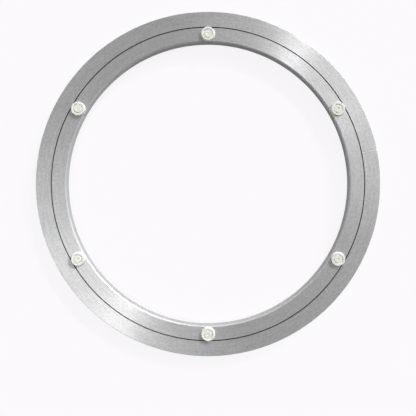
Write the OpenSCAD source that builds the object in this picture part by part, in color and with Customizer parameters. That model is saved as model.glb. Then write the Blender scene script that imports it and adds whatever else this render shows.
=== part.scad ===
// Ball-race turntable ring. Two concentric aluminium rings turn on a caged ball race.
// Soft pads on the inner ring carry a table top, and the same pads under the outer ring are its feet.
// Millimetres. The origin is the centre of the resting plane, and +Z runs up the spin axis.

/* [Rings] */
// Outside diameter of the outer ring
outer_d = 457; // [320:1:620]
// Radial width of the outer ring's section
outer_ring_w = 20.5; // [16:0.5:32]
// Radial width of the inner ring's section
inner_ring_w = 19; // [16:0.5:32]
// Radial width of the running gap between the two rings
running_gap = 1; // [0.6:0.1:2]
// Height of each ring's section
ring_h = 9; // [8:0.5:16]
// Height of the inner ring's face above the outer ring's face
face_step = 0.5; // [0.3:0.1:1]
// Radius on the outer ring's outside corners
rim_edge_r = 1; // [0.4:0.1:2]
// Radius on the corners beside the running gap
gap_edge_r = 0.3; // [0.1:0.1:0.6]
// Chamfer on the inner ring's bore corners
bore_chamfer = 1.2; // [0.4:0.1:2]

/* [Closing joint of the outer ring] */
// Direction of the joint, anticlockwise from +X
joint_angle = 11.5; // [0:0.5:359.5]
// Width of the line that the dressed joint leaves
joint_line_w = 0.3; // [0.1:0.05:0.6]
// Depth of that line
joint_line_depth = 0.15; // [0.05:0.05:0.4]

/* [Ball race] */
// Diameter of a steel ball
ball_d = 4.76; // [3:0.01:5.8]
// Radial clearance between a ball and its groove
groove_clearance = 0.05; // [0.02:0.01:0.1]
// Number of moulded cage segments
segment_count = 6; // [2:1:8]
// Balls in one cage segment
balls_per_segment = 10; // [4:1:14]
// Radial thickness of the cage
cage_t = 2.6; // [1.6:0.1:3.4]
// Radial clearance from the cage to each ring
cage_clearance = 0.5; // [0.2:0.1:0.8]
// Clearance above and below the cage
cage_end_clearance = 0.15; // [0.1:0.05:0.4]
// Clearance between a ball and its pocket
pocket_clearance = 0.1; // [0.05:0.05:0.3]
// Height of the cage's rim above and below a pocket
cage_rim_h = 0.72; // [0.5:0.01:1.2]
// Gap between the ends of two cage segments
segment_gap = 0.6; // [0.2:0.1:2]

/* [Pads and feet] */
// Number of pads on the inner ring, and of feet under the outer ring
pad_count = 6; // [3:1:12]
// Direction of the first pad
first_pad_angle = 30; // [0:1:119]
// Direction of the first foot
first_foot_angle = 0; // [0:1:119]
// Height of a pad above its seat
pad_h = 2.5; // [1.8:0.1:5]
// Diameter of a pad's head
pad_head_d = 18; // [15:0.5:24]
// Radius on the head's top edge
pad_edge_r = 0.8; // [0.2:0.1:1]
// How far the thin skirt at a pad's base stands out beyond the head
pad_skirt_w = 0.5; // [0.3:0.1:1]
// Thickness of the skirt
pad_skirt_h = 0.8; // [0.4:0.1:1]
// Diameter of the ring groove moulded in the head, to its middle
pad_groove_d = 11.2; // [6:0.1:12]
// Width of that groove, which is half as deep
pad_groove_w = 1.8; // [0.6:0.1:2.4]
// Diameter of the dimple in the middle of the head
pad_dimple_d = 2.4; // [1:0.1:3.4]
// Depth of that dimple
pad_dimple_depth = 0.5; // [0.2:0.1:1]
// Diameter of a pad's stem
stem_d = 5.9; // [4:0.1:8]
// Length of the stem
stem_l = 5; // [3:0.5:6.5]
// Length of the taper at the stem's tip
stem_taper = 0.8; // [0.4:0.1:1.2]
// How far each grip rib stands out of the stem
stem_rib = 0.04; // [0.02:0.01:0.04]
// Height of a grip rib
stem_rib_h = 0.2; // [0.1:0.05:0.4]
// Number of grip ribs
stem_rib_count = 2; // [1:1:3]
// Radial clearance between the stem and its hole
stem_clearance = 0.05; // [0.05:0.01:0.2]
// Depth left free beyond the stem's tip
stem_hole_spare = 0.5; // [0.2:0.1:1]
// Chamfer at the mouth of the stem hole
stem_hole_chamfer = 0.4; // [0.1:0.1:0.8]

/* [Hidden] */
$fn = 96;
ring_fn = 360;
cut = 1;                                            // how far a cutter runs past the surface it opens

outer_r = outer_d / 2;
outer_in_r = outer_r - outer_ring_w;                // wall of the outer ring beside the gap
inner_out_r = outer_in_r - running_gap;             // wall of the inner ring beside the gap
bore_r = inner_out_r - inner_ring_w;                // the clear opening

outer_z = pad_h;                                    // underside of the outer ring, on its feet
inner_z = outer_z + face_step;                      // underside of the inner ring
outer_top = outer_z + ring_h;
inner_top = inner_z + ring_h;

race_r = (inner_out_r + outer_in_r) / 2;            // circle of the ball centres
race_z = (outer_z + inner_top) / 2;                 // plane of the ball centres
race_groove_r = ball_d / 2 + groove_clearance;
pocket_d = ball_d + 2 * pocket_clearance;
cage_h = pocket_d + 2 * cage_rim_h;
cavity_h = cage_h + 2 * cage_end_clearance;
cavity_half_w = cage_t / 2 + cage_clearance;
lip_h = (ring_h - face_step - cavity_h) / 2;        // the thinner lip over the race, beside the gap
gap_corner_r = min(gap_edge_r, lip_h / 2);

segment_pitch = 360 / segment_count;
ball_pitch = segment_pitch / balls_per_segment;
segment_gap_angle = segment_gap / race_r * 180 / PI;

pad_pitch = 360 / pad_count;
inner_pad_r = (bore_r + bore_chamfer + inner_out_r - gap_corner_r) / 2;     // middle of the flat face
outer_foot_r = (outer_in_r + gap_corner_r + outer_r - rim_edge_r) / 2;      // middle of the flat underside
pad_skirt_d = pad_head_d + 2 * pad_skirt_w;
stem_straight_l = stem_l - stem_taper;
stem_hole_d = stem_d + 2 * stem_clearance;
stem_hole_depth = stem_l + stem_hole_spare;

// Rings

// Rounds a square corner that is at the origin, on a section that lies towards +x and +y.
module round_corner_cutter(r) {
    difference() {
        translate([-cut, -cut]) square(r + cut);
        translate([r, r]) circle(r);
    }
}

// Cuts the same corner off at 45 degrees.
module chamfer_cutter(c) {
    polygon([[-cut, -cut], [c + cut, -cut], [-cut, c + cut]]);
}

// The space that the balls and the cage run in, as a section.
module race_space() {
    translate([race_r - cavity_half_w, race_z - cavity_h / 2]) square([2 * cavity_half_w, cavity_h]);
    translate([race_r, race_z]) circle(race_groove_r);
}

// Puts its children at the bottom of a ring, and their mirror image at its top.
module at_both_faces(z) {
    translate([0, z]) children();
    translate([0, z + ring_h]) mirror([0, 1]) children();
}

module outer_section() {
    difference() {
        translate([outer_in_r, outer_z]) square([outer_ring_w, ring_h]);
        race_space();
        at_both_faces(outer_z) {
            translate([outer_r, 0]) mirror([1, 0]) round_corner_cutter(rim_edge_r);
            translate([outer_in_r, 0]) round_corner_cutter(gap_corner_r);
        }
    }
}

module inner_section() {
    difference() {
        translate([bore_r, inner_z]) square([inner_ring_w, ring_h]);
        race_space();
        at_both_faces(inner_z) {
            translate([inner_out_r, 0]) mirror([1, 0]) round_corner_cutter(gap_corner_r);
            translate([bore_r, 0]) chamfer_cutter(bore_chamfer);
        }
    }
}

// The line of the closing joint, across both faces of the outer ring and down its rim.
module joint_line() {
    rotate(joint_angle) {
        for (face_z = [outer_z, outer_top])
            translate([outer_in_r - cut, -joint_line_w / 2, face_z - joint_line_depth])
                cube([outer_ring_w + 2 * cut, joint_line_w, 2 * joint_line_depth]);
        translate([outer_r - joint_line_depth, -joint_line_w / 2, outer_z - cut])
            cube([2 * joint_line_depth, joint_line_w, ring_h + 2 * cut]);
    }
}

// A blind hole for one stem. Its mouth is at z = 0 and it runs down.
module stem_hole() {
    mouth_h = stem_hole_chamfer + cut;
    translate([0, 0, -stem_hole_depth]) cylinder(d = stem_hole_d, h = stem_hole_depth + cut);
    translate([0, 0, -stem_hole_chamfer])
        cylinder(d1 = stem_hole_d, d2 = stem_hole_d + 2 * mouth_h, h = mouth_h);
}

// Puts its children on the inner ring's face, at pad number i.
module at_top_pad(i) {
    rotate(first_pad_angle + (i - 1) * pad_pitch) translate([inner_pad_r, 0, inner_top]) children();
}

// Puts its children upside down on the outer ring's underside, at foot number i.
module at_foot(i) {
    rotate(first_foot_angle + (i - 1) * pad_pitch)
        translate([outer_foot_r, 0, outer_z]) mirror([0, 0, 1]) children();
}

module outer_ring() {
    color("silver")
        difference() {
            rotate_extrude($fn = ring_fn) outer_section();
            for (i = [1:pad_count]) at_foot(i) stem_hole();
            joint_line();
        }
}

module inner_ring() {
    color("silver")
        difference() {
            rotate_extrude($fn = ring_fn) inner_section();
            for (i = [1:pad_count]) at_top_pad(i) stem_hole();
        }
}

// Ball race

// Puts its children at ball number b of segment number i, with +X pointing outwards.
module at_ball(i, b) {
    rotate((i - 1) * segment_pitch + (b - 0.5) * ball_pitch) translate([race_r, 0, race_z]) children();
}

module ball_set(i) {
    color("gainsboro")
        for (b = [1:balls_per_segment]) at_ball(i, b) sphere(d = ball_d);
}

module cage_segment(i) {
    color("ivory")
        difference() {
            rotate((i - 1) * segment_pitch + segment_gap_angle / 2)
                rotate_extrude(angle = segment_pitch - segment_gap_angle, $fn = ring_fn)
                    translate([race_r - cage_t / 2, race_z - cage_h / 2]) square([cage_t, cage_h]);
            for (b = [1:balls_per_segment])
                at_ball(i, b) rotate([0, 90, 0]) cylinder(d = pocket_d, h = 2 * cage_t, center = true);
        }
}

// Pads and feet

// Half of the head's section, with its seat at y = 0.
module pad_head_section() {
    difference() {
        square([pad_head_d / 2, pad_h]);
        translate([pad_head_d / 2, pad_h]) rotate(180) round_corner_cutter(pad_edge_r);
        translate([pad_groove_d / 2, pad_h]) circle(d = pad_groove_w);
        translate([0, pad_h - pad_dimple_depth]) square([pad_dimple_d / 2, pad_dimple_depth + cut]);
    }
}

// The thin flange round the foot of the head, with a round edge.
module pad_skirt() {
    edge_r = pad_skirt_h / 2;
    cylinder(r = pad_skirt_d / 2 - edge_r, h = pad_skirt_h);
    translate([0, 0, edge_r]) rotate_extrude() translate([pad_skirt_d / 2 - edge_r, 0]) circle(edge_r);
}

// The stem below the seat, with grip ribs and a tapered tip.
module pad_stem() {
    translate([0, 0, -stem_straight_l]) cylinder(d = stem_d, h = stem_straight_l + pad_skirt_h);
    translate([0, 0, -stem_l]) cylinder(d1 = stem_d - 2 * stem_taper, d2 = stem_d, h = stem_taper);
    for (k = [1:stem_rib_count])
        translate([0, 0, -k * stem_straight_l / (stem_rib_count + 1)])
            cylinder(d = stem_d + 2 * stem_rib, h = stem_rib_h);
}

// One pad on its seat at z = 0, with its head up.
module pad() {
    color("whitesmoke") {
        rotate_extrude() pad_head_section();
        pad_skirt();
        pad_stem();
    }
}

outer_ring();
inner_ring();
for (i = [1:segment_count]) {
    cage_segment(i);
    ball_set(i);
}
for (i = [1:pad_count]) {
    at_top_pad(i) pad();
    at_foot(i) pad();
}
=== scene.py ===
"""Dresses a ball-race turntable ring: two turned aluminium rings, a caged ball race, silicone pads and feet.

Everything is in metres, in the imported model's own frame: +Z runs up the spin axis, and z = 0 is the surface
that the feet stand on.
"""

import logging
import math
from dataclasses import dataclass
from enum import Enum
from typing import Any, Iterable, Sequence

import bpy
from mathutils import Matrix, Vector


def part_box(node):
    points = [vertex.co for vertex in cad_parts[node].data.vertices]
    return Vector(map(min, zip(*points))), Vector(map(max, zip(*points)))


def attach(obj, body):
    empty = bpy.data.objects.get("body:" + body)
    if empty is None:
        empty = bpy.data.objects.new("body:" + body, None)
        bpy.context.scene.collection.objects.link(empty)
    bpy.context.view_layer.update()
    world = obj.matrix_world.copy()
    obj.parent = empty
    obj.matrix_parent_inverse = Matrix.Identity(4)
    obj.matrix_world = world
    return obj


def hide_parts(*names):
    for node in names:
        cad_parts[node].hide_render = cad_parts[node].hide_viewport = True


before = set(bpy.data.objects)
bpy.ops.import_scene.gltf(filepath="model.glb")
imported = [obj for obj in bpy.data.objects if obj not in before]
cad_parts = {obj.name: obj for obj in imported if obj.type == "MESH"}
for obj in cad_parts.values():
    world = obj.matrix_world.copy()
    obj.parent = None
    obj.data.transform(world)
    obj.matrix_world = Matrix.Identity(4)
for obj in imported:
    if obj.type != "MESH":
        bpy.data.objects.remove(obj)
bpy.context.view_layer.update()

log = logging.getLogger("turntable")

MM = 0.001
TURN = 2 * math.pi
SUPPORT = 0.06 * MM         # how far a holding point lies beyond each fillet, so that flats shade flat
MERGE = 0.002 * MM          # points closer than this are one
SHARP = math.radians(20)    # an edge that turns more than this shades sharp

# The kinds of node that come up most, and what a smooth range node is set to. A range node takes a value, the two
# limits that it maps from, and the two that it maps to.
COORDINATES = "ShaderNodeTexCoord"
JOIN = "ShaderNodeCombineXYZ"
MATHS = "ShaderNodeMath"
MIX = "ShaderNodeMix"
NOISE = "ShaderNodeTexNoise"
RANGE = "ShaderNodeMapRange"
SPLIT = "ShaderNodeSeparateXYZ"
VECTORS = "ShaderNodeVectorMath"
SMOOTH = "SMOOTHSTEP"
NOISE_SPAN = (0.3, 0.7)     # most of a noise's values lie in this span

Point = tuple[float, float]
Colour = tuple[float, float, float, float]


class Body(Enum):
    """The rigid bodies that pieces ride on."""

    BASE = "base"
    TURNTABLE = "turntable"
    BALL_CAGE = "ball_cage"


class Slot(Enum):
    """The record's material slots."""

    RING = "ring_aluminium"
    BALL = "ball_steel"
    PAD = "pad_silicone"


class Facing(Enum):
    """Which way up a set of pads stands, as its turn about the direction it points out in."""

    UP = 0.0
    DOWN = math.pi


# Small tools


def linear(hex_code: str) -> Colour:
    """Turns an sRGB hex colour into a linear one.

    Args:
        hex_code: Six hex digits after a hash sign.

    Returns:
        Red, green, blue and an alpha of 1.
    """
    channels = [int(hex_code[i : i + 2], 16) / 255 for i in (1, 3, 5)]
    red, green, blue = (c / 12.92 if c <= 0.04045 else ((c + 0.055) / 1.055) ** 2.4 for c in channels)
    return red, green, blue, 1.0


def feed(tree: bpy.types.NodeTree, node: bpy.types.Node, inputs: dict[Any, Any]) -> None:
    """Sets a node's inputs.

    Args:
        tree: The tree that holds the node.
        node: The node.
        inputs: What each input gets, by its name or number: a value, an output socket, or a node, which stands for
            its first output in use.
    """
    for key, value in inputs.items():
        if isinstance(value, bpy.types.Node):
            value = next(socket for socket in value.outputs if socket.enabled)
        if isinstance(value, bpy.types.NodeSocket):
            tree.links.new(value, node.inputs[key])
        else:
            node.inputs[key].default_value = value


def add(
    tree: bpy.types.NodeTree, kind: str, inputs: dict[Any, Any] | Sequence[Any] = (), **settings: Any
) -> bpy.types.Node:
    """Adds a node to a tree.

    Args:
        tree: The tree that gets the node.
        kind: The node's type name.
        inputs: What its inputs get, as for feed, or a sequence that starts at the first input.
        settings: The node's own properties.

    Returns:
        The new node.
    """
    node = tree.nodes.new(kind)
    for name, value in settings.items():
        setattr(node, name, value)
    feed(tree, node, inputs if isinstance(inputs, dict) else dict(enumerate(inputs)))
    return node


# Outlines


@dataclass(frozen=True)
class Corner:
    """A corner of a turned outline: its radius from the axis, its height, and its fillet."""

    r: float
    z: float
    fillet: float = 0.0


def arc(r: float, z: float, radius: float, start: float, end: float, steps: int) -> list[Corner]:
    """Corners along a circular arc.

    Args:
        r: The centre's radius from the axis.
        z: The centre's height.
        radius: The arc's radius.
        start: The direction of its first point, in radians anticlockwise from outwards.
        end: The direction of its last point.
        steps: How many straight steps it takes.

    Returns:
        One sharp corner for each point.
    """
    turns = [start + (end - start) * k / steps for k in range(steps + 1)]
    return [Corner(r + radius * math.cos(t), z + radius * math.sin(t)) for t in turns]


def filleted(corners: Sequence[Corner], closed: bool, steps: int = 6) -> list[Point]:
    """Rounds the corners of an outline, with a holding point on the flat each side of each fillet.

    Args:
        corners: The outline's corners, anticlockwise with the radius to the right and the height up.
        closed: Whether the last corner joins the first.
        steps: How many straight steps each fillet takes.

    Returns:
        The outline's points as pairs of radius and height.
    """
    points: list[Point] = []
    count = len(corners)
    for k, corner in enumerate(corners):
        at_end = not closed and k in (0, count - 1)
        if corner.fillet == 0 or at_end:
            points.append((corner.r, corner.z))
            continue
        before, after = corners[k - 1], corners[(k + 1) % count]
        into = math.atan2(corner.z - before.z, corner.r - before.r)
        out = math.atan2(after.z - corner.z, after.r - corner.r)
        bend = math.remainder(out - into, TURN)
        reach = corner.fillet * abs(math.tan(bend / 2))
        side = math.copysign(corner.fillet, bend)
        start_r = corner.r - reach * math.cos(into)
        start_z = corner.z - reach * math.sin(into)
        centre_r = start_r - side * math.sin(into)
        centre_z = start_z + side * math.cos(into)
        points.append((start_r - SUPPORT * math.cos(into), start_z - SUPPORT * math.sin(into)))
        for step in range(steps + 1):
            heading = into + bend * step / steps
            points.append((centre_r + side * math.sin(heading), centre_z - side * math.cos(heading)))
        end_r = corner.r + (reach + SUPPORT) * math.cos(out)
        end_z = corner.z + (reach + SUPPORT) * math.sin(out)
        points.append((end_r, end_z))
    return points


# Geometry Nodes


@dataclass(frozen=True)
class Joint:
    """The line where a rolled ring's two ends meet, as a small groove: its direction, width and depth."""

    angle: float
    width: float
    depth: float


def new_tree(name: str, sockets: Iterable[tuple[str, str]]) -> tuple[bpy.types.NodeTree, bpy.types.Node]:
    """Starts a Geometry Nodes tree.

    Args:
        name: The tree's name.
        sockets: The name and the kind of each input, where a kind is the end of a socket type's name.

    Returns:
        The tree and its group input node.
    """
    tree = bpy.data.node_groups.new(name, "GeometryNodeTree")
    for label, kind in sockets:
        tree.interface.new_socket(label, in_out="INPUT", socket_type="NodeSocket" + kind)
    tree.interface.new_socket("Mesh", in_out="OUTPUT", socket_type="NodeSocketGeometry")
    return tree, tree.nodes.new("NodeGroupInput")


def lathe_tree() -> bpy.types.NodeTree:
    """Builds the tree that turns an outline about +Z, with an optional joint line, and closes its seam and poles.

    Returns:
        The tree, whose rows run round the axis and whose columns run along the outline.
    """
    tree, given = new_tree(
        "turned_part",
        [
            ("Outline", "Object"), ("Closed", "Float"), ("Steps", "Float"), ("Joint Angle", "Float"),
            ("Joint Width", "Float"), ("Joint Depth", "Float"), ("Section Centre", "Vector"), ("Material", "Material"),
        ],
    )
    of = given.outputs
    position = add(tree, "GeometryNodeInputPosition")
    outline = add(tree, "GeometryNodeObjectInfo", {"Object": of["Outline"]}).outputs["Geometry"]
    points = add(tree, "GeometryNodeAttributeDomainSize", {"Geometry": outline}).outputs["Point Count"]
    columns = add(tree, MATHS, (points, 1), operation="SUBTRACT")
    columns = add(tree, MATHS, (columns, of["Closed"]), operation="ADD")
    rows = add(tree, MATHS, (of["Steps"], 2), operation="ADD")
    row_points = add(tree, MATHS, (rows, 1), operation="ADD")
    column_points = add(tree, MATHS, (columns, 1), operation="ADD")
    grid = add(tree, "GeometryNodeMeshGrid", {"Vertices X": row_points, "Vertices Y": column_points})

    # The grid is 1 m each way about the origin, so each point's place gives its row and its column.
    place = add(tree, SPLIT, (position,))
    numbers = []
    for axis, count in (("X", rows), ("Y", columns)):
        share = add(tree, MATHS, (place.outputs[axis], 0.5), operation="ADD")
        number = add(tree, MATHS, (share, count), operation="MULTIPLY")
        numbers.append(add(tree, MATHS, (number,), operation="ROUND"))
    row, column = numbers

    # The rows spread evenly from one lip of the joint round to the other. The last but one is the joint's floor.
    open_turn = add(tree, MATHS, (TURN, of["Joint Width"]), operation="SUBTRACT")
    even = add(tree, MATHS, (row, of["Steps"]), operation="MINIMUM")
    even = add(tree, MATHS, (even, of["Steps"]), operation="DIVIDE")
    past = add(tree, MATHS, (row, of["Steps"]), operation="SUBTRACT")
    past = add(tree, MATHS, (past, 0), operation="MAXIMUM")
    half_width = add(tree, MATHS, (of["Joint Width"], 0.5), operation="MULTIPLY")
    start = add(tree, MATHS, (of["Joint Angle"], half_width), operation="ADD")
    round_ring = add(tree, MATHS, (even, open_turn, start), operation="MULTIPLY_ADD")
    across_joint = add(tree, MATHS, (past, half_width), operation="MULTIPLY")
    angle = add(tree, MATHS, (round_ring, across_joint), operation="ADD")
    floor = add(tree, MATHS, (past, 1, 0.1), operation="COMPARE")
    inset = add(tree, MATHS, (floor, of["Joint Depth"]), operation="MULTIPLY")

    # Each point is its column's outline point, sunk towards the section's middle if it is in the joint, and turned.
    index = add(tree, MATHS, (column, points), operation="FLOORED_MODULO")
    spot = add(
        tree,
        "GeometryNodeSampleIndex",
        {"Geometry": outline, "Value": position, "Index": index},
        data_type="FLOAT_VECTOR",
        domain="POINT",
    )
    inwards = add(tree, VECTORS, (of["Section Centre"], spot), operation="SUBTRACT")
    inwards = add(tree, VECTORS, (inwards,), operation="NORMALIZE")
    sunk = add(tree, VECTORS, {0: inwards, "Scale": inset}, operation="SCALE")
    sunk = add(tree, VECTORS, (spot, sunk), operation="ADD")
    turned = add(tree, "ShaderNodeVectorRotate", {"Vector": sunk, "Angle": angle}, rotation_type="Z_AXIS")

    solid = add(tree, "GeometryNodeSetPosition", {"Geometry": grid, "Position": turned})
    solid = add(tree, "GeometryNodeMergeByDistance", {"Geometry": solid, "Distance": MERGE})
    solid = add(tree, "GeometryNodeSetShadeSmooth", {"Geometry": solid, "Shade Smooth": True})
    bend = add(tree, "GeometryNodeInputMeshEdgeAngle").outputs["Unsigned Angle"]
    sharp = add(tree, MATHS, (bend, SHARP), operation="GREATER_THAN")
    solid = add(
        tree,
        "GeometryNodeStoreNamedAttribute",
        {"Geometry": solid, "Name": "sharp_edge", "Value": sharp},
        data_type="BOOLEAN",
        domain="EDGE",
    )
    solid = add(tree, "GeometryNodeRealizeInstances", {"Geometry": solid})
    solid = add(tree, "GeometryNodeSetMaterial", {"Geometry": solid, "Material": of["Material"]})
    add(tree, "NodeGroupOutput", {"Mesh": solid})
    return tree


def circle_tree() -> bpy.types.NodeTree:
    """Builds the tree that sets copies of a part evenly on a circle about +Z, each turned to face outwards.

    Returns:
        The tree.
    """
    tree, given = new_tree(
        "set_on_circle",
        [
            ("Part", "Object"), ("Count", "Int"), ("Radius", "Float"), ("Height", "Float"),
            ("First Angle", "Float"), ("Tip", "Float"), ("Material", "Material"),
        ],
    )
    of = given.outputs
    part = add(tree, "GeometryNodeObjectInfo", {"Object": of["Part"]}).outputs["Geometry"]
    share = add(tree, MATHS, (add(tree, "GeometryNodeInputIndex"), TURN), operation="MULTIPLY")
    share = add(tree, MATHS, (share, of["Count"]), operation="DIVIDE")
    angle = add(tree, MATHS, (share, of["First Angle"]), operation="ADD")
    out = add(tree, JOIN, {"X": of["Radius"], "Z": of["Height"]})
    spot = add(tree, "ShaderNodeVectorRotate", {"Vector": out, "Angle": angle}, rotation_type="Z_AXIS")
    spots = add(tree, "GeometryNodePoints", {"Count": of["Count"], "Position": spot})
    turn = add(tree, JOIN, {"X": of["Tip"], "Z": angle})
    copies = add(tree, "GeometryNodeInstanceOnPoints", {"Points": spots, "Instance": part, "Rotation": turn})
    copies = add(tree, "GeometryNodeRealizeInstances", {"Geometry": copies})
    copies = add(tree, "GeometryNodeSetMaterial", {"Geometry": copies, "Material": of["Material"]})
    add(tree, "NodeGroupOutput", {"Mesh": copies})
    return tree


class Workshop:
    """Makes plain meshes with the two Geometry Nodes trees."""

    def __init__(self) -> None:
        """Builds the trees."""
        self.lathe = lathe_tree()
        self.circle = circle_tree()

    def run(self, name: str, tree: bpy.types.NodeTree, values: dict[str, Any]) -> bpy.types.Object:
        """Runs a tree once and keeps its result as a plain mesh.

        Args:
            name: The piece's name.
            tree: The tree to run.
            values: What each named input gets.

        Returns:
            The piece, at the origin, with its place in its mesh and no modifier.
        """
        carrier = bpy.data.objects.new("carrier", bpy.data.meshes.new("carrier"))
        bpy.context.scene.collection.objects.link(carrier)
        modifier = carrier.modifiers.new("build", "NODES")
        modifier.node_group = tree
        for socket in tree.interface.items_tree:
            if socket.in_out == "INPUT":
                modifier[socket.identifier] = values[socket.name]
        graph = bpy.context.evaluated_depsgraph_get()
        mesh = bpy.data.meshes.new_from_object(carrier.evaluated_get(graph), depsgraph=graph)
        bpy.data.objects.remove(carrier)
        mesh.name = name
        piece = bpy.data.objects.new(name, mesh)
        bpy.context.scene.collection.objects.link(piece)
        return piece

    def turn(
        self,
        name: str,
        outline: Sequence[Point],
        material: bpy.types.Material,
        steps: int,
        closed: bool = True,
        joint: Joint | None = None,
    ) -> bpy.types.Object:
        """Turns an outline about +Z.

        Args:
            name: The piece's name.
            outline: The section's points, anticlockwise with the radius to the right and the height up.
            material: The finish.
            steps: How many steps go round the axis.
            closed: Whether the outline closes on itself. If not, both its ends are on the axis.
            joint: The joint line, if the ring has one.

        Returns:
            The turned piece.
        """
        mesh = bpy.data.meshes.new("outline")
        mesh.from_pydata([(r, 0, z) for r, z in outline], [], [])
        guide = bpy.data.objects.new("outline", mesh)
        bpy.context.scene.collection.objects.link(guide)
        middle = [sum(p[axis] for p in outline) / len(outline) for axis in (0, 1)]
        # Without a joint, the two steps that would make it are as long as the others.
        joint = joint or Joint(0.0, 2 * TURN / (steps + 2), 0.0)
        values = {
            "Outline": guide, "Closed": float(closed), "Steps": float(steps), "Joint Angle": joint.angle,
            "Joint Width": joint.width, "Joint Depth": joint.depth, "Section Centre": (middle[0], 0.0, middle[1]),
            "Material": material,
        }
        piece = self.run(name, self.lathe, values)
        bpy.data.objects.remove(guide)
        return piece

    def set_round(
        self,
        name: str,
        part: bpy.types.Object,
        count: int,
        radius: float,
        height: float,
        first_angle: float,
        facing: Facing,
        material: bpy.types.Material,
    ) -> bpy.types.Object:
        """Sets copies of a part on a circle about +Z, and removes the part.

        Args:
            name: The piece's name.
            part: The part, at the origin.
            count: How many copies there are.
            radius: The circle's radius.
            height: The circle's height.
            first_angle: The first copy's direction.
            facing: Which way up the copies stand.
            material: The finish.

        Returns:
            All the copies as one piece.
        """
        values = {
            "Part": part, "Count": count, "Radius": radius, "Height": height, "First Angle": first_angle,
            "Tip": facing.value, "Material": material,
        }
        piece = self.run(name, self.circle, values)
        bpy.data.objects.remove(part)
        return piece


# Finishes


def new_material(name: str) -> tuple[bpy.types.Material, bpy.types.NodeTree, bpy.types.Node]:
    """Starts a material that has one Principled shader.

    Args:
        name: The material's name.

    Returns:
        The material, its node tree and its shader node.
    """
    material = bpy.data.materials.new(name)
    material.use_nodes = True
    tree = material.node_tree
    return material, tree, tree.nodes["Principled BSDF"]


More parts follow.
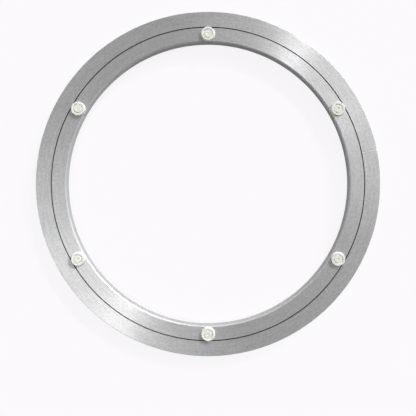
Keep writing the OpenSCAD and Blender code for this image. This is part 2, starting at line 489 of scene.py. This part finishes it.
@dataclass(frozen=True)
class TurnedAluminium:
    """Extruded aluminium, rolled to a ring, faced with concentric strokes and clear anodised.

    The strokes spread each reflection across them, so a lamp shows as bright fans across the ring, and the
    anodised film adds a soft grey scatter that takes shadows.
    """

    metal: str = "#C6C6C7"
    metal_worn: str = "#DEDEDF"
    # Painted shade: the darker grey that the sides take in place of the metal.
    painted_side_shade: str = "#B6B6B8"
    # Painted shade: the near-black that fills the running gap.
    gap_shade: str = "#1E1D1C"
    # Painted highlight: the near-white on the closing joint's lips.
    joint_highlight: str = "#FAFAFB"
    metallic: float = 0.58
    roughness: tuple[float, float] = (0.56, 0.61)
    stroke_pitch: float = 2.4 * MM      # real strokes are a tenth of this, too fine to show
    stroke_length: float = 22 * MM
    grain_pitch: float = 3 * MM         # real grain is far finer too
    speck_pitch: float = 5 * MM
    speck_size: float = 0.35 * MM
    speck_height: float = 0.6           # against a stroke's height
    speck_lots: tuple[float, float] = (0.7, 0.8)
    patch_size: float = 60 * MM
    relief: float = 0.05 * MM
    relief_strength: float = 0.12
    faced_from: float = 0.45            # how upright a surface starts to be faced with strokes and to lose the painted side shade, as its normal's height
    faced_to: float = 0.95
    gap_shade_r: float = 207.4 * MM        # the middle of the painted shade band along the running gap
    gap_shade_half_w: float = 0.65 * MM
    gap_shade_fade: float = 0.3 * MM
    joint_highlight_half_w: float = 0.5 * MM
    joint_highlight_fade: float = 0.2 * MM

    def material(self, joint_angle: float | None = None) -> bpy.types.Material:
        """Builds the material.

        Args:
            joint_angle: The direction of the ring's closing joint, whose lips get a painted highlight. None has no
                joint.

        Returns:
            The material. Its patterns run round the Z axis of the piece.
        """
        material, tree, shader = new_material("turned_anodised_aluminium")
        coordinates = add(tree, COORDINATES)
        place = coordinates.outputs["Object"]
        at = add(tree, SPLIT, (place,)).outputs
        flat = add(tree, JOIN, {"X": at["X"], "Y": at["Y"]})
        radius = add(tree, VECTORS, (flat,), operation="LENGTH")
        around = add(tree, VECTORS, ((0.0, 0.0, 1.0), flat), operation="CROSS_PRODUCT")
        tangent = add(
            tree,
            "ShaderNodeVectorTransform",
            (around,),
            vector_type="VECTOR",
            convert_from="OBJECT",
            convert_to="WORLD",
        )

        # The strokes are long round the ring and narrow across it.
        along = add(tree, VECTORS, {0: flat, "Scale": 1 / self.stroke_length}, operation="SCALE")
        along = add(tree, SPLIT, (along,)).outputs
        across = add(tree, MATHS, (radius, at["Z"]), operation="ADD")
        across = add(tree, MATHS, (across, self.stroke_pitch), operation="DIVIDE")
        grid = add(tree, JOIN, (along["X"], along["Y"], across))
        strokes = add(tree, NOISE, {"Vector": grid, "Scale": 1.0, "Detail": 3.0, "Roughness": 0.6})

        # Specks are pin-prick flaws that catch the light. Each cell draws a lot, and about a quarter get a speck.
        cells = add(tree, "ShaderNodeTexVoronoi", {"Vector": place, "Scale": 1 / self.speck_pitch, "Randomness": 1.0})
        reach = self.speck_size / self.speck_pitch
        specks = add(tree, RANGE, (cells, reach / 2, reach, 1.0, 0.0), interpolation_type=SMOOTH)
        lot = add(tree, "ShaderNodeSeparateColor", (cells.outputs["Color"],))
        chosen = add(tree, RANGE, (lot, *self.speck_lots, 0.0, 1.0), interpolation_type=SMOOTH)
        specks = add(tree, MATHS, (specks, chosen), operation="MULTIPLY")

        # Strokes and grain each take the metal half way to its worn colour, and a speck takes it all the way.
        grain = add(tree, NOISE, {"Vector": place, "Scale": 1 / self.grain_pitch, "Detail": 1.0})
        grain = add(tree, RANGE, (grain, *NOISE_SPAN, 0.0, 1.0), interpolation_type=SMOOTH)
        worn = add(tree, RANGE, (strokes, 0.25, 0.75, 0.0, 1.0), interpolation_type=SMOOTH)
        worn = add(tree, MATHS, (worn, 0.5, specks), operation="MULTIPLY_ADD")
        worn = add(tree, MATHS, (grain, 0.5, worn), operation="MULTIPLY_ADD")
        tints = {"Factor": worn, "A": linear(self.metal), "B": linear(self.metal_worn)}
        colour = add(tree, MIX, tints, data_type="RGBA")
        # Painted highlight: a near-white line on the closing joint's lips, where its groove would catch the light.
        if joint_angle is not None:
            off_joint = add(tree, MATHS, (at["Y"], at["X"]), operation="ARCTAN2")
            off_joint = add(tree, MATHS, (off_joint, joint_angle), operation="SUBTRACT")
            off_joint = add(tree, MATHS, (off_joint, radius), operation="MULTIPLY")
            off_joint = add(tree, MATHS, (off_joint,), operation="ABSOLUTE")
            joint_highlight_end = self.joint_highlight_half_w + self.joint_highlight_fade
            lips = add(tree, RANGE, (off_joint, self.joint_highlight_half_w, joint_highlight_end, 1.0, 0.0), interpolation_type=SMOOTH)
            colour = add(tree, MIX, {"Factor": lips, "A": colour, "B": linear(self.joint_highlight)}, data_type="RGBA")

        # The sides scatter evenly, the flat faces are cut with strokes, and chamfers lie between. Painted shade: the
        # sides also take a darker grey than the flat faces, standing in for the shade that falls on them.
        upright = add(tree, SPLIT, (coordinates.outputs["Normal"],)).outputs["Z"]
        upright = add(tree, MATHS, (upright,), operation="ABSOLUTE")
        faced = add(tree, RANGE, (upright, self.faced_from, self.faced_to, 0.0, 1.0), interpolation_type=SMOOTH)
        colour = add(tree, MIX, {"Factor": faced, "A": linear(self.painted_side_shade), "B": colour}, data_type="RGBA")

        # Painted shade: a near-black band darkens the walls and lips of the running gap, where shade falls.
        off_gap = add(tree, MATHS, (radius, self.gap_shade_r), operation="SUBTRACT")
        off_gap = add(tree, MATHS, (off_gap,), operation="ABSOLUTE")
        gap_shade_end = self.gap_shade_half_w + self.gap_shade_fade
        gap_shade = add(tree, RANGE, (off_gap, self.gap_shade_half_w, gap_shade_end, 1.0, 0.0), interpolation_type=SMOOTH)
        colour = add(tree, MIX, {"Factor": gap_shade, "A": colour, "B": linear(self.gap_shade)}, data_type="RGBA")

        patches = add(tree, NOISE, {"Vector": place, "Scale": 1 / self.patch_size, "Detail": 1.0})
        rough = add(tree, RANGE, (patches, *NOISE_SPAN, *self.roughness), interpolation_type=SMOOTH)
        height = add(tree, MATHS, (specks, self.speck_height, strokes), operation="MULTIPLY_ADD")
        bump = {"Height": height, "Strength": self.relief_strength, "Distance": self.relief}

        # A quarter turn from the tangent lays the reflections across the strokes.
        sockets = {
            "Base Color": colour, "Metallic": self.metallic, "Roughness": rough, "Anisotropic": faced,
            "Anisotropic Rotation": 0.25, "Normal": add(tree, "ShaderNodeBump", bump), "Tangent": tangent,
        }
        feed(tree, shader, sockets)
        return material


@dataclass(frozen=True)
class MilkySilicone:
    """Compression-moulded silicone rubber, unpigmented.

    It looks milky white with a faint green cast, lets light soak in, and has the soft shine of its mould.
    """

    body: str = "#E9EAE1"
    haze: str = "#F4F5EE"
    roughness: tuple[float, float] = (0.32, 0.44)
    bloom_size: float = 3 * MM
    mould_grain: float = 0.5 * MM
    relief: float = 0.03 * MM
    relief_strength: float = 0.15
    soak: float = 1.2 * MM              # how deep light soaks in

    def material(self) -> bpy.types.Material:
        """Builds the material.

        Returns:
            The material.
        """
        material, tree, shader = new_material("moulded_silicone")
        place = add(tree, COORDINATES).outputs["Object"]
        bloom = add(tree, NOISE, {"Vector": place, "Scale": 1 / self.bloom_size, "Detail": 2.0})
        grain = add(tree, NOISE, {"Vector": place, "Scale": 1 / self.mould_grain, "Detail": 2.0})
        tints = {"Factor": bloom, "A": linear(self.body), "B": linear(self.haze)}
        bump = {"Height": grain, "Strength": self.relief_strength, "Distance": self.relief}
        sockets = {
            "Base Color": add(tree, MIX, tints, data_type="RGBA"),
            "Roughness": add(tree, RANGE, (bloom, *NOISE_SPAN, *self.roughness), interpolation_type=SMOOTH),
            "Normal": add(tree, "ShaderNodeBump", bump),
            "IOR": 1.41, "Transmission Weight": 0.12, "Subsurface Weight": 0.5,
            "Subsurface Radius": (1.0, 1.0, 0.9), "Subsurface Scale": self.soak,
        }
        feed(tree, shader, sockets)
        return material


@dataclass(frozen=True)
class PolishedSteel:
    """Hardened chrome steel, ground and polished. A dark mirror with a thin film of oil."""

    steel: str = "#B9BABD"
    oiled: str = "#A4A29C"
    roughness: tuple[float, float] = (0.12, 0.22)
    film_size: float = 2 * MM
    film_span: tuple[float, float] = (0.35, 0.65)

    def material(self) -> bpy.types.Material:
        """Builds the material.

        Returns:
            The material.
        """
        material, tree, shader = new_material("polished_bearing_steel")
        place = add(tree, COORDINATES).outputs["Object"]
        film = add(tree, NOISE, {"Vector": place, "Scale": 1 / self.film_size, "Detail": 2.0})
        tints = {"Factor": film, "A": linear(self.steel), "B": linear(self.oiled)}
        sockets = {
            "Base Color": add(tree, MIX, tints, data_type="RGBA"),
            "Roughness": add(tree, RANGE, (film, *self.film_span, *self.roughness), interpolation_type=SMOOTH),
            "Metallic": 1.0,
        }
        feed(tree, shader, sockets)
        return material


@dataclass(frozen=True)
class BlackNylon:
    """Injection-moulded black nylon. Dull near-black with a fine spark-eroded mould grain."""

    nylon: str = "#17171A"
    shade: str = "#1F1F22"
    roughness: tuple[float, float] = (0.45, 0.6)
    flow_size: float = 12 * MM
    grain_size: float = 0.25 * MM
    relief: float = 0.02 * MM
    relief_strength: float = 0.2

    def material(self) -> bpy.types.Material:
        """Builds the material.

        Returns:
            The material.
        """
        material, tree, shader = new_material("black_nylon")
        place = add(tree, COORDINATES).outputs["Object"]
        flow = add(tree, NOISE, {"Vector": place, "Scale": 1 / self.flow_size, "Detail": 2.0})
        grain = add(tree, NOISE, {"Vector": place, "Scale": 1 / self.grain_size, "Detail": 1.0})
        tints = {"Factor": flow, "A": linear(self.nylon), "B": linear(self.shade)}
        bump = {"Height": grain, "Strength": self.relief_strength, "Distance": self.relief}
        sockets = {
            "Base Color": add(tree, MIX, tints, data_type="RGBA"),
            "Roughness": add(tree, RANGE, (grain, *NOISE_SPAN, *self.roughness), interpolation_type=SMOOTH),
            "Normal": add(tree, "ShaderNodeBump", bump),
            "IOR": 1.53,
        }
        feed(tree, shader, sockets)
        return material


# Sub-assemblies


def finish_piece(piece: bpy.types.Object, body: Body, nodes: Sequence[str]) -> None:
    """Puts a finished piece on its body, in place of the CAD nodes that it stands for.

    Args:
        piece: The finished piece.
        body: The body that it rides on.
        nodes: The CAD nodes that it stands for.
    """
    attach(piece, body.value)
    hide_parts(*nodes)
    log.info("%s: %d faces on %s, for %d CAD nodes", piece.name, len(piece.data.polygons), body.value, len(nodes))


def nodes_named(stem: str) -> list[str]:
    """Lists the CAD nodes whose names start with a stem, in order."""
    return sorted(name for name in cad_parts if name.startswith(stem))


@dataclass(frozen=True)
class Race:
    """The space between the rings, in which the balls and their cage run."""

    gap_in_r: float = 207.0 * MM
    gap_out_r: float = 208.0 * MM
    cavity_half_w: float = 1.8 * MM
    cavity_half_h: float = 3.35 * MM
    groove_r: float = 2.43 * MM
    lip_fillet: float = 0.12 * MM
    groove_steps: int = 10

    @property
    def pitch_r(self) -> float:
        """The radius of the circle of ball centres."""
        return (self.gap_in_r + self.gap_out_r) / 2

    @property
    def height(self) -> float:
        """The height of the ball centres."""
        low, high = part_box("ball_set_1")
        return (low.z + high.z) / 2

    def wall(self, side: int) -> list[Corner]:
        """Corners of the race's wall in one ring, from lip to lip.

        Args:
            side: 1 for the outer ring's wall, from the top down, and -1 for the inner ring's, from the bottom up.

        Returns:
            The corners, from the edge of the running gap and back to it.
        """
        gap_r = self.gap_out_r if side > 0 else self.gap_in_r
        wall_r = self.pitch_r + side * self.cavity_half_w
        open_angle = math.acos(self.cavity_half_w / self.groove_r)
        facing = 0.0 if side > 0 else math.pi
        groove = arc(
            self.pitch_r, self.height, self.groove_r, facing + open_angle, facing - open_angle, self.groove_steps
        )
        first = self.height + side * self.cavity_half_h
        last = self.height - side * self.cavity_half_h
        return [
            Corner(gap_r, first, self.lip_fillet), Corner(wall_r, first, self.lip_fillet), *groove,
            Corner(wall_r, last, self.lip_fillet), Corner(gap_r, last, self.lip_fillet),
        ]


@dataclass(frozen=True)
class OuterRing:
    """The fixed ring, with rounded outside corners and the line of its closing joint."""

    race: Race
    rim_fillet: float = 1.0 * MM
    gap_fillet: float = 0.3 * MM
    joint_angle: float = math.radians(11.5)
    joint_width: float = 0.6 * MM
    joint_depth: float = 0.16 * MM
    steps: int = 720

    def build(self, shop: Workshop, finish: bpy.types.Material) -> None:
        """Turns the ring and puts it on the base.

        Args:
            shop: The workshop.
            finish: The ring's material.
        """
        low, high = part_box("outer_ring")
        outside, inside = high.x, self.race.gap_out_r
        corners = [
            Corner(inside, low.z, self.gap_fillet), Corner(outside, low.z, self.rim_fillet),
            Corner(outside, high.z, self.rim_fillet), Corner(inside, high.z, self.gap_fillet),
            *self.race.wall(1),
        ]
        joint = Joint(self.joint_angle, self.joint_width / outside, self.joint_depth)
        outline = filleted(corners, closed=True)
        ring = shop.turn("outer_ring_turned", outline, finish, self.steps, joint=joint)
        finish_piece(ring, Body.BASE, ["outer_ring"])


@dataclass(frozen=True)
class InnerRing:
    """The turning ring, with chamfered bore corners."""

    race: Race
    bore_r: float = 188.0 * MM
    bore_chamfer: float = 1.2 * MM
    chamfer_fillet: float = 0.15 * MM
    gap_fillet: float = 0.3 * MM
    steps: int = 720

    def build(self, shop: Workshop, finish: bpy.types.Material) -> None:
        """Turns the ring and puts it on the turntable.

        Args:
            shop: The workshop.
            finish: The ring's material.
        """
        low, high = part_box("inner_ring")
        outside, face_r = self.race.gap_in_r, self.bore_r + self.bore_chamfer
        soft = self.chamfer_fillet
        corners = [
            Corner(face_r, low.z, soft), Corner(outside, low.z, self.gap_fillet), *self.race.wall(-1),
            Corner(outside, high.z, self.gap_fillet), Corner(face_r, high.z, soft),
            Corner(self.bore_r, high.z - self.bore_chamfer, soft), Corner(self.bore_r, low.z + self.bore_chamfer, soft),
        ]
        ring = shop.turn("inner_ring_turned", filleted(corners, closed=True), finish, self.steps)
        finish_piece(ring, Body.TURNTABLE, ["inner_ring"])


@dataclass(frozen=True)
class PadSet:
    """One circle of moulded pads: each a grooved head with a dimple, on a thin skirt."""

    name: str
    nodes: str
    body: Body
    facing: Facing
    circle_r: float
    first_angle: float
    head_r: float = 9.0 * MM
    skirt_r: float = 9.5 * MM
    skirt_h: float = 0.8 * MM
    groove_r: float = 5.6 * MM
    groove_half_w: float = 0.9 * MM
    dimple_r: float = 1.2 * MM
    dimple_depth: float = 0.5 * MM
    edge_fillet: float = 0.8 * MM
    skirt_fillet: float = 0.35 * MM
    soft_fillet: float = 0.25 * MM
    groove_steps: int = 16
    steps: int = 96

    def outline(self, height: float) -> list[Point]:
        """The head's half section, with its seat at height 0.

        Args:
            height: How far the head stands above its seat.

        Returns:
            The outline's points, from the axis at the seat round to the axis at the top.
        """
        soft = self.soft_fillet
        groove_out, groove_in = self.groove_r + self.groove_half_w, self.groove_r - self.groove_half_w
        groove = arc(self.groove_r, height, self.groove_half_w, 0.0, -math.pi, self.groove_steps)
        corners = [
            Corner(0.0, 0.0), Corner(self.skirt_r, 0.0, soft), Corner(self.skirt_r, self.skirt_h, self.skirt_fillet),
            Corner(self.head_r, self.skirt_h, soft / 2), Corner(self.head_r, height, self.edge_fillet),
            Corner(groove_out + soft, height), *groove, Corner(groove_in - soft, height),
            Corner(self.dimple_r + soft, height, soft), Corner(self.dimple_r, height - self.dimple_depth, soft),
            Corner(0.0, height - self.dimple_depth),
        ]
        return filleted(corners, closed=False)

    def build(self, shop: Workshop, finish: bpy.types.Material) -> None:
        """Makes one pad, sets its copies round, and puts them on their body.

        Args:
            shop: The workshop.
            finish: The pads' material.
        """
        nodes = nodes_named(self.nodes)
        ring_low, ring_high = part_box("inner_ring" if self.facing is Facing.UP else "outer_ring")
        pad_low, pad_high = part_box(nodes[0])
        seat = ring_high.z if self.facing is Facing.UP else ring_low.z
        height = pad_high.z - seat if self.facing is Facing.UP else seat - pad_low.z
        pad = shop.turn("pad", self.outline(height), finish, self.steps, closed=False)
        pads = shop.set_round(self.name, pad, len(nodes), self.circle_r, seat, self.first_angle, self.facing, finish)
        finish_piece(pads, self.body, nodes)


@dataclass(frozen=True)
class BallRace:
    """The steel balls, and the nylon cage that spaces them."""

    race: Race
    ball_r: float = 2.38 * MM
    balls: int = 60
    steps: int = 32

    def build(self, shop: Workshop, steel: bpy.types.Material, nylon: bpy.types.Material) -> None:
        """Makes the balls and puts them on the ball cage, and dresses the cage's CAD nodes.

        Args:
            shop: The workshop.
            steel: The balls' material.
            nylon: The cage's material.
        """
        outline = [(c.r, c.z) for c in arc(0.0, 0.0, self.ball_r, -TURN / 4, TURN / 4, self.steps // 2)]
        ball = shop.turn("ball", outline, steel, self.steps, closed=False)
        half_pitch = TURN / self.balls / 2
        balls = shop.set_round(
            "bearing_balls", ball, self.balls, self.race.pitch_r, self.race.height, half_pitch, Facing.UP, steel
        )
        finish_piece(balls, Body.BALL_CAGE, nodes_named("ball_set"))
        for name in nodes_named("cage_segment"):
            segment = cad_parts[name]
            segment.data.materials.clear()
            segment.data.materials.append(nylon)
            log.info("%s: CAD node, dressed in nylon", name)


# Studio


@dataclass(frozen=True)
class SoftBank:
    """A bank of soft light, as the part of the sky that it fills.

    Directions are in degrees: azimuth anticlockwise from +X, and elevation above the floor.
    """

    azimuths: tuple[float, float]
    elevations: tuple[float, float]
    strength: float
    azimuth_blur: float = 12.0
    elevation_blur: float = 3.0

    def light(self, tree: bpy.types.NodeTree, azimuth: bpy.types.Node, elevation: bpy.types.Node) -> bpy.types.Node:
        """Adds the bank to a sky.

        Args:
            tree: The sky's tree.
            azimuth: The node with each direction's azimuth.
            elevation: The node with each direction's elevation.

        Returns:
            The node with the bank's strength in each direction.
        """
        parts = []
        for at, (low, high), blur in (
            (azimuth, self.azimuths, self.azimuth_blur), (elevation, self.elevations, self.elevation_blur)
        ):
            off = add(tree, MATHS, (at, (low + high) / 2), operation="SUBTRACT")
            off = add(tree, MATHS, (off, 180.0, -180.0), operation="WRAP")
            off = add(tree, MATHS, (off,), operation="ABSOLUTE")
            half = (high - low) / 2
            edge = (off, half - blur / 2, half + blur / 2, 1.0, 0.0)
            parts.append(add(tree, RANGE, edge, interpolation_type=SMOOTH))
        inside = add(tree, MATHS, parts, operation="MULTIPLY")
        return add(tree, MATHS, (inside, self.strength), operation="MULTIPLY")


@dataclass(frozen=True)
class Studio:
    """A plain pale studio: a floor, banks of soft light, and the camera straight above.

    A long, low strip of light stands behind the ring on one side. It makes the bright fans across the rings and
    the pads' crisp shadows. Weaker banks lift the rest.
    """

    camera_distance: float = 0.36
    view_width: float = 0.5510          # how much of the ring's plane the frame takes in
    rise: float = 0.0578                # how far above the frame's middle the ring sits, as a share of the frame
    floor_width: float = 8.0
    floor_drop: float = 0.2 * MM        # keeps the floor clear of the feet
    paper: str = "#FBF9FB"
    paper_glow: float = 0.92
    paper_scatter: float = 0.08
    card: float = 0.75                  # how pale the floor is as the metal sees it
    ambient: float = 0.05
    banks: tuple[SoftBank, ...] = (
        SoftBank((20, 60), (19, 23), 54.0, 12, 2),
        SoftBank((54, 60), (20, 22), 530.0, 3, 1),
        SoftBank((48, 88), (28, 55), 3.2),
        SoftBank((-60, 0), (0, 17), 1.6),
        SoftBank((85, 160), (0, 17), 1.6),
        SoftBank((172, 220), (55, 75), 8.2),
    )

    def floor(self) -> None:
        """Lays the floor. The camera sees near-white paper, and the metal sees a soft grey."""
        bpy.ops.mesh.primitive_plane_add(size=self.floor_width, location=(0, 0, -self.floor_drop))
        sheet = bpy.context.object
        sheet.name = "floor"
        material = bpy.data.materials.new("studio_paper")
        material.use_nodes = True
        tree = material.node_tree
        tree.nodes.clear()
        seen = add(tree, "ShaderNodeLightPath").outputs["Is Camera Ray"]
        glow = add(tree, "ShaderNodeEmission", {"Color": linear(self.paper), "Strength": self.paper_glow})
        scatter, card = (
            add(tree, "ShaderNodeBsdfDiffuse", {"Color": (grey, grey, grey, 1)})
            for grey in (self.paper_scatter, self.card)
        )
        paper = add(tree, "ShaderNodeAddShader", (glow, scatter))
        mixed = add(tree, "ShaderNodeMixShader", (seen, card, paper))
        add(tree, "ShaderNodeOutputMaterial", {"Surface": mixed})
        sheet.data.materials.append(material)

    def sky(self) -> None:
        """Fills the sky with the ambient light and the banks. The camera sees it as plain paper."""
        world = bpy.data.worlds.new("studio")
        world.use_nodes = True
        bpy.context.scene.world = world
        tree = world.node_tree
        tree.nodes.clear()
        towards = add(tree, SPLIT, (add(tree, COORDINATES).outputs["Generated"],)).outputs
        azimuth = add(tree, MATHS, (towards["Y"], towards["X"]), operation="ARCTAN2")
        azimuth = add(tree, MATHS, (azimuth,), operation="DEGREES")
        elevation = add(tree, MATHS, (towards["Z"],), operation="ARCSINE")
        elevation = add(tree, MATHS, (elevation,), operation="DEGREES")
        strength: float | bpy.types.Node = self.ambient
        for bank in self.banks:
            strength = add(tree, MATHS, (bank.light(tree, azimuth, elevation), strength), operation="ADD")
        light = add(tree, "ShaderNodeBackground", {"Color": (1, 1, 1, 1), "Strength": strength})
        seen = add(tree, "ShaderNodeLightPath").outputs["Is Camera Ray"]
        backdrop = add(tree, "ShaderNodeBackground", {"Color": linear(self.paper), "Strength": 1.0})
        mixed = add(tree, "ShaderNodeMixShader", (seen, light, backdrop))
        add(tree, "ShaderNodeOutputWorld", {"Surface": mixed})

    def camera(self) -> None:
        """Sets the camera straight above the ring's middle."""
        data = bpy.data.cameras.new("camera")
        data.lens = data.sensor_width * self.camera_distance / self.view_width
        data.shift_y = -self.rise
        camera = bpy.data.objects.new("camera", data)
        camera.location = (0, 0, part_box("outer_ring")[1].z + self.camera_distance)
        bpy.context.scene.collection.objects.link(camera)
        bpy.context.scene.camera = camera

    def build(self) -> None:
        """Sets up the whole studio."""
        bpy.context.scene.view_settings.view_transform = "Standard"
        self.floor()
        self.sky()
        self.camera()


def main() -> None:
    """Builds the studio and dresses each sub-assembly."""
    logging.basicConfig(level=logging.INFO, format="%(name)s: %(message)s")
    Studio().build()
    shop = Workshop()
    aluminium, silicone = TurnedAluminium(), MilkySilicone().material()
    race = Race()
    outer_ring = OuterRing(race)
    outer_ring.build(shop, aluminium.material(outer_ring.joint_angle))
    InnerRing(race).build(shop, aluminium.material())
    BallRace(race).build(shop, PolishedSteel().material(), BlackNylon().material())
    pads = [
        PadSet("top_pads", "top_pad", Body.TURNTABLE, Facing.UP, 197.95 * MM, math.radians(30)),
        PadSet("feet", "foot_pad", Body.BASE, Facing.DOWN, 217.9 * MM, 0.0),
    ]
    for pad_set in pads:
        pad_set.build(shop, silicone)


if __name__ == "__main__":
    main()
